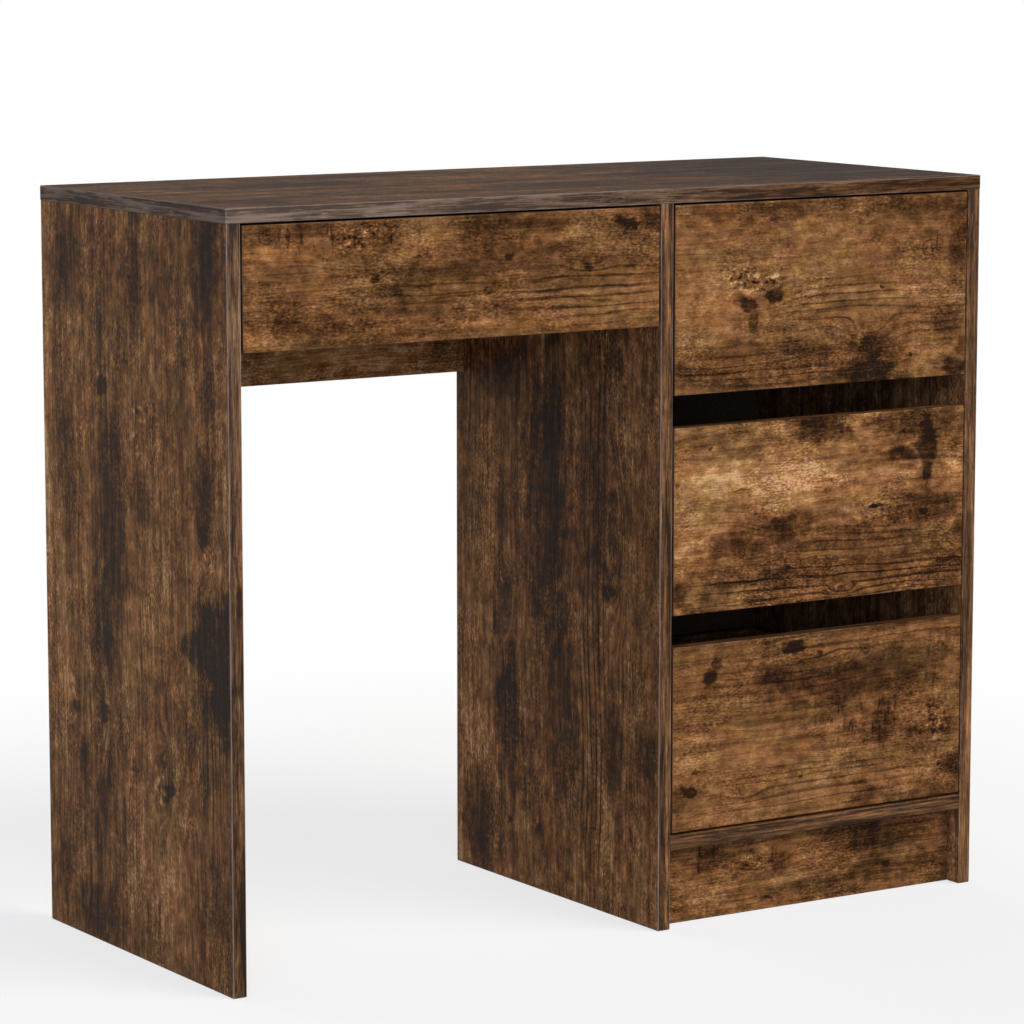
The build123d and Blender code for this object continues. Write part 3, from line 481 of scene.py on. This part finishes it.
board("right_side_panel", along=Z, normal=X, seed=3, tone=0.57, lively=1.4, combed=0.85, clouds=0.9,
      worn=0.1,
      knots=((0.120, 0.480, 0.012, 0.010, 0.8), (0.270, 0.170, 0.010, 0.009, 0.8)),
      stains=((0.060, 0.600, 0.030, 0.090, 0.8), (0.300, 0.500, 0.025, 0.110, 0.7),
              (0.170, 0.260, 0.032, 0.080, 1.0), (0.330, 0.120, 0.028, 0.050, 0.8)),
      swells=((0.120, 0.480, 0.022, 0.060, 0.02), (0.200, 0.650, 0.050, 0.120, 0.03)))


# Base panel and plinth: two more printed boards, between the divider and the right side panel.
# The base carries the pedestal's back in a groove, and the plinth closes the space below it.
# Both hang on cams and dowels, whose pockets face down and to the rear, out of sight.

FACING_FRONT = {"along": X, "normal": Y, "seen": -1, "gloss": 0.03, "worn": 0}

board("base_panel", along=X, normal=Z, seed=4, tone=0.5, lively=1.25, clouds=0.7, worn=0)

board("plinth_board", **FACING_FRONT, seed=5, tone=0.51, lively=1.15,
      stains=((0.062, 0.066, 0.018, 0.016, 0.5), (0.155, 0.048, 0.012, 0.010, 0.5),
              (0.230, 0.066, 0.030, 0.013, 0.6), (0.265, 0.058, 0.030, 0.022, 0.9),
              (0.310, 0.062, 0.045, 0.017, 0.6), (0.205, 0.018, 0.050, 0.009, 0.5),
              (0.340, 0.025, 0.030, 0.010, 0.5), (0.270, 0.025, 0.050, 0.018, 0.5),
              (0.045, 0.044, 0.014, 0.008, 0.5), (0.102, 0.043, 0.012, 0.009, 0.5),
              (0.330, 0.039, 0.016, 0.006, 0.4), (0.202, 0.006, 0.030, 0.006, 0.5)),
      glows=((0.060, 0.026, 0.042, 0.016, 0.16), (0.185, 0.055, 0.022, 0.018, 0.12),
             (0.150, 0.028, 0.016, 0.008, 0.1), (0.356, 0.060, 0.016, 0.012, 0.1),
             (0.100, 0.062, 0.012, 0.006, 0.2), (0.130, 0.064, 0.006, 0.006, 0.2),
             (0.222, 0.055, 0.016, 0.006, 0.2)),
      knots=((0.136, 0.010, 0.009, 0.003, 0.6), (0.292, 0.029, 0.006, 0.004, 0.45),
             (0.240, 0.011, 0.006, 0.003, 0.4)),
      bark=((0.115, 0.055, 0.045, 0.016, 0.7),),
      sawn=((0.055, 0.058, 0.032, 0.024, 1.0), (0.112, 0.062, 0.014, 0.022, 1.0),
            (0.147, 0.054, 0.012, 0.018, 0.8)),
      swells=((0.129, 0.049, 0.060, 0.020, 0.02),))


# Rear apron: a printed board across the back of the knee space, which keeps the desk square.
# It hangs between the left side panel and the divider, under the desktop, on cams and dowels.

board("rear_apron", along=X, normal=Y, seen=-1, seed=6, tone=0.58, lively=1.3, worn=0,
      # The wide pale patch over the whole seen face is painted light: it brightens a face that stands
      # in shade under the desktop and the writing drawer
      glows=((0.240, 0.100, 0.800, 0.800, 0.2),),
      stains=((0.222, 0.050, 0.024, 0.024, 1.2), (0.306, 0.046, 0.016, 0.012, 0.9),
              (0.460, 0.050, 0.060, 0.050, 0.7), (0.120, 0.090, 0.060, 0.040, 0.7)))


# Desktop: one printed board over the uprights, its print running the length of the desk.
# It is drawn down on the uprights by cams, and dowels keep it in place.

board("desktop", along=X, normal=Z, seed=7, tone=0.30, lively=1.2, clouds=0.8, faded=(0.9, 0.05),
      gloss=0.02, worn=0.25,
      stains=((0.200, 0.250, 0.120, 0.030, 0.6), (0.480, 0.120, 0.140, 0.025, 0.6),
              (0.750, 0.280, 0.110, 0.030, 0.6), (0.060, 0.060, 0.050, 0.030, 0.5),
              (0.620, 0.060, 0.090, 0.020, 0.5), (0.330, 0.340, 0.120, 0.020, 0.5),
              (0.800, 0.220, 0.200, 0.200, 0.8)),
      knots=((0.640, 0.210, 0.012, 0.009, 0.8), (0.170, 0.120, 0.010, 0.008, 0.8)),
      swells=((0.640, 0.210, 0.060, 0.022, 0.02), (0.170, 0.120, 0.050, 0.020, 0.02)))


# Back panel and drawer bottoms: 3 mm hardboard with a matt brown face, slid into saw grooves.
# Pressed wood fibre shows as a fine felted speckle.

HARDBOARD_BROWN = (0.150, 0.090, 0.048)
HARDBOARD_DARK = (0.075, 0.045, 0.026)
DRAWERS = ("writing_drawer", "lower_drawer", "middle_drawer", "upper_drawer")


def speckle(noise, middle, contrast):
    """A share that swings about its middle with some noise."""
    return (middle + noise * contrast).ramp(0, 1)


hardboard, place, _ = new_finish("hardboard_face")
felt = place.noise((260, 260, 260), octaves=5, roughness=0.75)
cloudy = place.noise((9, 9, 9), octaves=3)
fibre = speckle(felt * 3 + cloudy, middle=0.5, contrast=0.8)
coat(hardboard, Base_Color=fibre.between(HARDBOARD_DARK, HARDBOARD_BROWN), Roughness=0.75 + felt * 0.3,
     Specular_IOR_Level=0.2, Normal=felt.bump(strength=0.3, depth=0.0004))
dress(hardboard, "back_panel", *[name + "_bottom" for name in DRAWERS])


# Cam bolts, cam locks and screws: zinc-plated steel and die-cast zinc, bought in.
# The plating is dull and a little uneven, and the castings are slightly pitted.
# Bolts and screws are driven into the boards, and a lock turns in its bore to pull its bolt.

ZINC = (0.56, 0.56, 0.54)
ZINC_DULL = (0.36, 0.36, 0.36)

zinc, place, _ = new_finish("zinc_plating")
spangle = place.noise((700, 700, 700), octaves=3, roughness=0.6)
dull = speckle(spangle, middle=0.4, contrast=2.2)
coat(zinc, Base_Color=dull.between(ZINC, ZINC_DULL), Metallic=1, Roughness=0.36 + spangle * 0.5,
     Normal=spangle.bump(strength=0.15, depth=0.0002))
dress(zinc, "cam_bolts", "cam_locks", "rail_screws", *[name + "_fittings" for name in DRAWERS])


# Dowels: plain pins of turned beech, glued into the edges of the boards.
# They place each joint of the carcass while its cams draw it shut.

BEECH_PALE = (0.55, 0.37, 0.20)
BEECH_FLECK = (0.36, 0.21, 0.10)

beech, place, _ = new_finish("turned_beech")
flecks = place.noise((500, 500, 500), octaves=3, roughness=0.7)
flecked = speckle(flecks, middle=0.4, contrast=2)
coat(beech, Base_Color=flecked.between(BEECH_PALE, BEECH_FLECK), Roughness=0.62 + flecks * 0.3)
dress(beech, "wood_dowels")


# Roller slides: a channel on each carcass wall and an angled rail under each drawer side, bent from
# 1.2 mm steel sheet and coated with off-white epoxy. The powder coat has a fine orange-peel skin.
# Screws hold the channels to the walls and the rails to the drawer sides.

EPOXY_WHITE = (0.66, 0.64, 0.58)
EPOXY_SHADE = (0.56, 0.54, 0.48)
SIDES = ("left", "right")
RAILS = ("rail", "channel")

epoxy, place, _ = new_finish("epoxy_coat")
peel = place.noise((420, 420, 420), octaves=2)
smudge = place.noise((30, 12, 30), octaves=4, roughness=0.7)
shade = speckle(smudge, middle=0.4, contrast=2.2)
coat(epoxy, Base_Color=shade.between(EPOXY_WHITE, EPOXY_SHADE), Roughness=0.42 + smudge * 0.35,
     Specular_IOR_Level=0.45, Normal=peel.bump(strength=0.12, depth=0.0003))
dress(epoxy, *[f"{name}_{side}_{rail}" for name in DRAWERS for side in SIDES for rail in RAILS])


# Rollers: moulded nylon wheels on riveted axles, one on each channel and one on each drawer rail.
# The running face is polished by use, and the sides keep the mould's fine texture.

NYLON_WHITE = (0.74, 0.74, 0.70)
NYLON_GREY = (0.55, 0.55, 0.52)

nylon, place, _ = new_finish("moulded_nylon")
mould = place.noise((900, 900, 900), octaves=2)
wear = place.noise((120, 160, 160), octaves=3)
greyed = speckle(wear, middle=0.35, contrast=2)
coat(nylon, Base_Color=greyed.between(NYLON_WHITE, NYLON_GREY), Roughness=0.44 + mould * 0.3,
     Normal=mould.bump(strength=0.1, depth=0.0002))
dress(nylon, *[f"{name}_{end}_rollers" for name in DRAWERS for end in ("front", "rear")])


# Drawer boxes: sides and back of 12 mm board with the same print, its grain along each board.
# The sides are cammed to the front, screwed to the back, and grooved for the bottom.

ORIGIN = (0, 0, 0)

box_sides = oak_print("drawer_side_print", ORIGIN, along=Y, normal=X, seed=8, tone=0.6, clouds=0.7)
box_backs = oak_print("drawer_back_print", ORIGIN, along=X, normal=Y, seed=9, tone=0.6, clouds=0.7)
dress(box_sides, *[f"{name}_{side}_side" for name in DRAWERS for side in SIDES])
dress(box_backs, *[name + "_back" for name in DRAWERS])


# Drawer fronts: 15 mm boards with banded edges and no handles, the print running from side to side.
# A finger gap over each lower front lets a hand pull its upper edge.
# Cams in the drawer's sides draw each front on.

board("writing_drawer_front", **FACING_FRONT, seed=10, tone=0.505, lively=1.1, combed=0.55,
      stains=((0.280, 0.098, 0.038, 0.028, 0.6), (0.210, 0.066, 0.060, 0.010, 0.3),
              (0.160, 0.050, 0.022, 0.010, 0.2), (0.045, 0.032, 0.016, 0.020, 0.5),
              (0.110, 0.014, 0.060, 0.015, 0.45), (0.355, 0.084, 0.018, 0.007, 0.6),
              (0.070, 0.113, 0.025, 0.009, 0.35), (0.157, 0.103, 0.014, 0.010, 0.6),
              (0.028, 0.108, 0.012, 0.012, 0.3), (0.192, 0.013, 0.026, 0.007, 0.6),
              (0.330, 0.110, 0.030, 0.010, 0.4), (0.465, 0.110, 0.012, 0.014, 0.7),
              (0.272, 0.051, 0.024, 0.006, 0.5), (0.145, 0.030, 0.026, 0.008, 0.45),
              (0.243, 0.012, 0.010, 0.008, 0.3), (0.380, 0.089, 0.016, 0.006, 0.35),
              (0.440, 0.093, 0.022, 0.006, 0.3), (0.105, 0.092, 0.012, 0.010, 0.3),
              (0.166, 0.093, 0.007, 0.010, 0.35), (0.338, 0.094, 0.014, 0.006, 0.3),
              (0.200, 0.052, 0.030, 0.005, 0.35), (0.214, 0.088, 0.024, 0.012, 0.3),
              (0.190, 0.029, 0.026, 0.005, 0.4), (0.112, 0.097, 0.012, 0.005, 0.4),
              (0.052, 0.010, 0.020, 0.007, 0.4), (0.330, 0.082, 0.008, 0.010, 0.4)),
      glows=((0.020, 0.088, 0.024, 0.016, 0.12), (0.085, 0.065, 0.035, 0.018, 0.1),
             (0.200, 0.102, 0.032, 0.016, 0.1), (0.380, 0.100, 0.020, 0.010, 0.16),
             (0.272, 0.018, 0.014, 0.009, 0.15), (0.365, 0.030, 0.022, 0.012, 0.08),
             (0.445, 0.030, 0.028, 0.020, 0.14), (0.310, 0.038, 0.016, 0.010, 0.08),
             (0.030, 0.008, 0.030, 0.008, 0.1), (0.440, 0.041, 0.050, 0.004, 0.2, 4),
             (0.452, 0.056, 0.030, 0.003, 0.16, 3), (0.435, 0.022, 0.045, 0.004, 0.16),
             (0.275, 0.041, 0.040, 0.003, 0.14, 5), (0.036, 0.066, 0.030, 0.009, 0.14),
             (0.412, 0.066, 0.016, 0.010, 0.12), (0.452, 0.072, 0.014, 0.008, 0.1),
             (0.358, 0.037, 0.030, 0.004, 0.2), (0.416, 0.035, 0.022, 0.004, 0.2),
             (0.042, 0.106, 0.010, 0.008, 0.2), (0.437, 0.020, 0.014, 0.005, 0.16),
             (0.470, 0.034, 0.010, 0.010, 0.2), (0.098, 0.006, 0.014, 0.008, 0.14)),
      knots=((0.435, 0.104, 0.016, 0.007, 0.9), (0.145, 0.062, 0.007, 0.004, 1.0),
             (0.296, 0.079, 0.006, 0.004, 0.5), (0.390, 0.064, 0.005, 0.004, 0.6)),
      bark=((0.125, 0.105, 0.044, 0.014, 1.0), (0.092, 0.082, 0.016, 0.005, 0.7)),
      cracks=((0.235, 0.041, 0.070, 0.0016, 0.6, 5), (0.395, 0.030, 0.065, 0.0016, 0.6, -5)),
      figured=((0.390, 0.042, 0.095, 0.034, 1.5), (0.215, 0.048, 0.075, 0.012, 0.9),
               (0.075, 0.060, 0.080, 0.030, 0.55)),
      sawn=((0.070, 0.104, 0.060, 0.018, 0.85), (0.155, 0.100, 0.024, 0.018, 0.85)),
      swells=((0.130, 0.085, 0.070, 0.020, 0.02), (0.296, 0.079, 0.040, 0.014, 0.012),
              (0.390, 0.065, 0.040, 0.012, 0.01)))

board("upper_drawer_front", **FACING_FRONT, seed=11, tone=0.58, lively=1.15, combed=0.5,
      stains=((0.135, 0.023, 0.150, 0.025, 0.36), (0.150, 0.040, 0.030, 0.007, 0.8),
              (0.020, 0.022, 0.032, 0.013, 0.6), (0.170, 0.032, 0.045, 0.016, 0.65),
              (0.310, 0.178, 0.070, 0.014, 0.7), (0.360, 0.150, 0.014, 0.045, 0.75),
              (0.350, 0.058, 0.024, 0.014, 0.7), (0.130, 0.182, 0.130, 0.012, 0.5),
              (0.330, 0.135, 0.020, 0.020, 0.35), (0.247, 0.020, 0.050, 0.024, 0.6),
              (0.270, 0.162, 0.036, 0.010, 0.4), (0.142, 0.162, 0.018, 0.008, 0.3),
              (0.145, 0.143, 0.012, 0.006, 0.25), (0.245, 0.061, 0.016, 0.006, 0.4),
              (0.285, 0.005, 0.016, 0.008, 0.7), (0.367, 0.034, 0.008, 0.020, 0.6),
              (0.226, 0.032, 0.010, 0.018, 0.8), (0.264, 0.028, 0.010, 0.016, 0.7),
              (0.208, 0.014, 0.014, 0.012, 0.7), (0.174, 0.008, 0.014, 0.008, 0.55),
              (0.352, 0.042, 0.012, 0.006, 0.5)),
      glows=((0.040, 0.090, 0.040, 0.034, 0.13), (0.040, 0.135, 0.026, 0.016, 0.1),
             (0.190, 0.132, 0.038, 0.022, 0.1), (0.278, 0.092, 0.030, 0.014, 0.1),
             (0.315, 0.024, 0.026, 0.014, 0.1), (0.088, 0.028, 0.020, 0.014, 0.1),
             (0.125, 0.006, 0.030, 0.006, 0.14), (0.045, 0.040, 0.020, 0.006, 0.1),
             (0.066, 0.080, 0.022, 0.014, 0.1), (0.075, 0.128, 0.032, 0.008, 0.1),
             (0.088, 0.102, 0.008, 0.003, 0.4), (0.066, 0.118, 0.004, 0.003, 0.4),
             (0.100, 0.117, 0.004, 0.003, 0.4), (0.080, 0.111, 0.004, 0.002, 0.35),
             (0.118, 0.114, 0.004, 0.002, 0.35), (0.067, 0.099, 0.004, 0.003, 0.35),
             (0.066, 0.090, 0.008, 0.010, 0.2), (0.018, 0.095, 0.024, 0.006, 0.2),
             (0.122, 0.129, 0.018, 0.005, 0.2), (0.266, 0.086, 0.014, 0.010, 0.18),
             (0.297, 0.118, 0.012, 0.012, 0.14), (0.160, 0.077, 0.010, 0.005, 0.2)),
      knots=((0.090, 0.088, 0.015, 0.009, 0.9), (0.097, 0.072, 0.007, 0.016, 0.5),
             (0.123, 0.095, 0.013, 0.008, 0.9), (0.246, 0.034, 0.017, 0.019, 0.6),
             (0.248, 0.010, 0.036, 0.014, 0.6), (0.358, 0.009, 0.018, 0.011, 0.7),
             (0.299, 0.025, 0.003, 0.003, 0.9), (0.261, 0.099, 0.004, 0.002, 0.9)),
      bark=((0.095, 0.112, 0.046, 0.011, 1.6),),
      figured=((0.220, 0.083, 0.095, 0.028, 1.2), (0.120, 0.020, 0.100, 0.018, 0.6),
               (0.300, 0.060, 0.080, 0.030, 0.8)),
      sawn=((0.325, 0.140, 0.030, 0.028, 0.8), (0.125, 0.152, 0.020, 0.008, 0.6)),
      swells=((0.247, 0.050, 0.060, 0.030, 0.02), (0.100, 0.095, 0.060, 0.030, 0.02)))

board("middle_drawer_front", **FACING_FRONT, seed=12, tone=0.615, lively=1.3, combed=0.65,
      stains=((0.215, 0.042, 0.200, 0.052, 0.55), (0.320, 0.086, 0.056, 0.017, 1.1),
              (0.138, 0.078, 0.036, 0.020, 1.2), (0.075, 0.066, 0.036, 0.014, 0.9),
              (0.140, 0.035, 0.035, 0.007, 1.0), (0.230, 0.066, 0.035, 0.012, 0.65),
              (0.178, 0.184, 0.032, 0.013, 1.4), (0.310, 0.178, 0.065, 0.014, 0.85),
              (0.285, 0.145, 0.024, 0.008, 1.2), (0.215, 0.176, 0.009, 0.004, 0.9),
              (0.350, 0.020, 0.040, 0.014, 0.85), (0.006, 0.018, 0.012, 0.013, 0.9),
              (0.050, 0.180, 0.030, 0.011, 0.35), (0.371, 0.060, 0.015, 0.030, 0.75),
              (0.148, 0.184, 0.012, 0.010, 0.8), (0.186, 0.169, 0.012, 0.006, 0.9),
              (0.362, 0.165, 0.012, 0.014, 0.6), (0.098, 0.096, 0.014, 0.007, 0.6),
              (0.045, 0.006, 0.040, 0.010, 0.5), (0.300, 0.132, 0.022, 0.004, 0.5, -12),
              (0.345, 0.068, 0.026, 0.006, 0.4)),
      glows=((0.060, 0.136, 0.075, 0.028, 0.24), (0.145, 0.130, 0.075, 0.032, 0.27),
             (0.020, 0.075, 0.020, 0.040, 0.06), (0.235, 0.125, 0.030, 0.025, 0.1),
             (0.358, 0.125, 0.014, 0.026, 0.15), (0.120, 0.158, 0.020, 0.006, 0.1),
             (0.040, 0.095, 0.045, 0.012, 0.1), (0.235, 0.180, 0.020, 0.010, 0.08),
             (0.213, 0.157, 0.008, 0.007, 0.35), (0.262, 0.048, 0.018, 0.008, 0.22),
             (0.010, 0.152, 0.016, 0.014, 0.2), (0.198, 0.127, 0.012, 0.004, 0.3),
             (0.226, 0.115, 0.014, 0.008, 0.2), (0.285, 0.117, 0.014, 0.006, 0.18),
             (0.200, 0.014, 0.045, 0.004, 0.2), (0.260, 0.018, 0.040, 0.003, 0.16)),
      knots=((0.322, 0.154, 0.015, 0.026, 1.0), (0.324, 0.128, 0.007, 0.017, 0.8),
             (0.320, 0.083, 0.005, 0.004, 0.6), (0.046, 0.168, 0.003, 0.003, 0.7),
             (0.291, 0.171, 0.003, 0.003, 0.7), (0.005, 0.133, 0.003, 0.003, 0.7),
             (0.252, 0.094, 0.007, 0.003, 0.9), (0.213, 0.009, 0.010, 0.004, 0.4)),
      bark=((0.205, 0.125, 0.026, 0.009, 0.6),),
      cracks=((0.084, 0.122, 0.014, 0.0016, 1.2), (0.260, 0.094, 0.016, 0.002, 1.2),
              (0.085, 0.031, 0.075, 0.0016, 0.8, 3), (0.070, 0.006, 0.070, 0.0016, 0.7, 3)),
      figured=((0.200, 0.018, 0.185, 0.022, 1.3), (0.240, 0.060, 0.100, 0.020, 0.7)),
      swells=((0.213, 0.009, 0.030, 0.010, 0.012), (0.140, 0.080, 0.070, 0.020, 0.012)))

board("lower_drawer_front", **FACING_FRONT, seed=13, tone=0.55, lively=1.05, combed=0.65,
      stains=((0.215, 0.138, 0.102, 0.024, 0.85), (0.130, 0.148, 0.028, 0.012, 0.85),
              (0.290, 0.140, 0.030, 0.034, 0.7), (0.270, 0.092, 0.016, 0.024, 0.9),
              (0.325, 0.150, 0.030, 0.014, 0.5), (0.362, 0.030, 0.014, 0.016, 0.7),
              (0.360, 0.075, 0.014, 0.022, 0.25), (0.250, 0.010, 0.026, 0.012, 0.8),
              (0.320, 0.062, 0.018, 0.012, 0.4), (0.004, 0.026, 0.008, 0.014, 0.4),
              (0.185, 0.100, 0.040, 0.008, 0.3), (0.205, 0.159, 0.030, 0.006, 0.6),
              (0.290, 0.184, 0.014, 0.006, 0.4), (0.221, 0.094, 0.008, 0.010, 0.6),
              (0.246, 0.094, 0.008, 0.012, 0.5), (0.335, 0.098, 0.010, 0.012, 0.5),
              (0.338, 0.050, 0.012, 0.010, 0.4), (0.350, 0.006, 0.030, 0.010, 0.6),
              (0.300, 0.005, 0.020, 0.006, 0.4), (0.150, 0.160, 0.036, 0.006, 0.5),
              (0.190, 0.163, 0.016, 0.006, 0.6), (0.272, 0.161, 0.020, 0.006, 0.5),
              (0.172, 0.127, 0.020, 0.006, 0.5), (0.125, 0.176, 0.012, 0.008, 0.35)),
      glows=((0.100, 0.072, 0.070, 0.018, 0.1), (0.180, 0.034, 0.036, 0.016, 0.22),
             (0.018, 0.070, 0.020, 0.011, 0.18), (0.300, 0.030, 0.040, 0.014, 0.08),
             (0.260, 0.180, 0.040, 0.008, 0.08), (0.050, 0.038, 0.014, 0.008, 0.16),
             (0.100, 0.038, 0.040, 0.007, 0.14), (0.082, 0.148, 0.016, 0.012, 0.16),
             (0.110, 0.125, 0.024, 0.010, 0.14), (0.138, 0.042, 0.030, 0.006, 0.14),
             (0.248, 0.036, 0.014, 0.007, 0.16), (0.360, 0.055, 0.010, 0.008, 0.16),
             (0.326, 0.066, 0.020, 0.006, 0.14), (0.200, 0.084, 0.016, 0.007, 0.12)),
      knots=((0.053, 0.170, 0.008, 0.007, 0.8), (0.046, 0.156, 0.010, 0.009, 0.75),
             (0.153, 0.178, 0.018, 0.007, 0.9), (0.021, 0.040, 0.013, 0.006, 0.9),
             (0.345, 0.036, 0.004, 0.003, 0.7), (0.163, 0.043, 0.003, 0.002, 0.8),
             (0.030, 0.062, 0.004, 0.003, 0.5), (0.186, 0.168, 0.004, 0.003, 0.6)),
      bark=((0.340, 0.082, 0.034, 0.026, 1.0), (0.275, 0.095, 0.014, 0.022, 0.4)),
      cracks=((0.205, 0.166, 0.064, 0.0016, 1.0, 4),),
      figured=((0.230, 0.180, 0.160, 0.012, 1.3), (0.180, 0.030, 0.150, 0.026, 1.0)),
      sawn=((0.250, 0.090, 0.060, 0.030, 0.9), (0.345, 0.140, 0.030, 0.035, 0.6)),
      swells=((0.024, 0.045, 0.040, 0.016, 0.015), (0.087, 0.029, 0.044, 0.012, 0.01)))


# Studio: a plain pale floor, a wide warm key from the front right, a low cool fill from the front
# left, a weak white lamp behind, and a pale surround. The camera looks from the front left, from a
# little above the top.

FLOOR_HALF = 30.0
FLOOR_CORNERS = ((-1, -1), (1, -1), (1, 1), (-1, 1))
FLOOR_DROP = 0.0004
FLOOR_GREY = 0.5
FLOOR_GLOW = 0.7
SHADOW_REACH = (0.6, 1.6)
DIRECT_RAYS = ("Is Camera Ray", "Is Glossy Ray", "Is Transmission Ray")
WARM = (1.02, 0.98, 0.90)
COOL = (0.84, 0.95, 1.46)
WHITE = (1, 1, 1)
SURROUND = 0.2

# Lamps: their strength, colour and tilt in degrees, and how wide they look
LAMPS = {
    "key": (2.15, WARM, (58, 0, 34)),
    "fill": (1.1, COOL, (75.5, 0, -34.5)),
    "rear": (0.7, WHITE, (-50, 0, 10))}
LAMP_WIDTH = 45

# Camera: its place in metres, its turn and dip in degrees, and its lens in millimetres
CAMERA_PLACE = (-2.3382, -3.6088, 1.0343)
CAMERA_YAW = 32.843
CAMERA_DIP = 8.235
CAMERA_LENS = 147.29

floor_mesh = bpy.data.meshes.new("floor")
floor_mesh.from_pydata(
    [(x * FLOOR_HALF, y * FLOOR_HALF, -FLOOR_DROP) for x, y in FLOOR_CORNERS], [], [(0, 1, 2, 3)])
floor = bpy.data.objects.new("floor", floor_mesh)
bpy.context.scene.collection.objects.link(floor)


def seen_directly(tree):
    """1 for rays from the camera, from gloss and through glass, which see a white background."""
    rays = tree.nodes.new("ShaderNodeLightPath").outputs
    return largest(*[Wire(rays[name]) for name in DIRECT_RAYS])


# The floor throws back half of its light, and looks white with a pale shadow
floor_paint, place, _ = new_finish("floor_paint")
direct = seen_directly(floor_paint.node_tree)
pale = FLOOR_GREY + direct * (1 - FLOOR_GREY)
coat(floor_paint, Base_Color=pale, Roughness=0.9, Specular_IOR_Level=0.0)
shader = Wire(floor_paint.node_tree.nodes["Principled BSDF"].outputs[0])
glow = shader.make("Emission", {}, {"Color": WHITE, "Strength": 1})
whiteness = place.length().ramp(*SHADOW_REACH, FLOOR_GLOW, 1)
lit_floor = shader.make("MixShader", {}, {0: direct * whiteness, 1: shader, 2: glow})
feed(floor_paint.node_tree.nodes["Material Output"], {"Surface": lit_floor})
floor_mesh.materials.append(floor_paint)

world = bpy.data.worlds.new("surround")
world.use_nodes = True
bpy.context.scene.world = world
brightness = SURROUND + seen_directly(world.node_tree) * (1 - SURROUND)
feed(world.node_tree.nodes["Background"], {"Color": WHITE, "Strength": brightness})

for name, (strength, colour, tilt) in LAMPS.items():
    lamp = bpy.data.lights.new(name, "SUN")
    lamp.energy = strength
    lamp.color = colour
    lamp.angle = radians(LAMP_WIDTH)
    lamp_object = bpy.data.objects.new(name, lamp)
    lamp_object.rotation_euler = [radians(turn) for turn in tilt]
    bpy.context.scene.collection.objects.link(lamp_object)

camera = bpy.data.cameras.new("camera")
camera.lens = CAMERA_LENS
camera_object = bpy.data.objects.new("camera", camera)
camera_object.location = CAMERA_PLACE
camera_object.rotation_euler = (radians(90 - CAMERA_DIP), 0, radians(-CAMERA_YAW))
bpy.context.scene.collection.objects.link(camera_object)
bpy.context.scene.camera = camera_object
bpy.context.scene.view_settings.view_transform = "Standard"
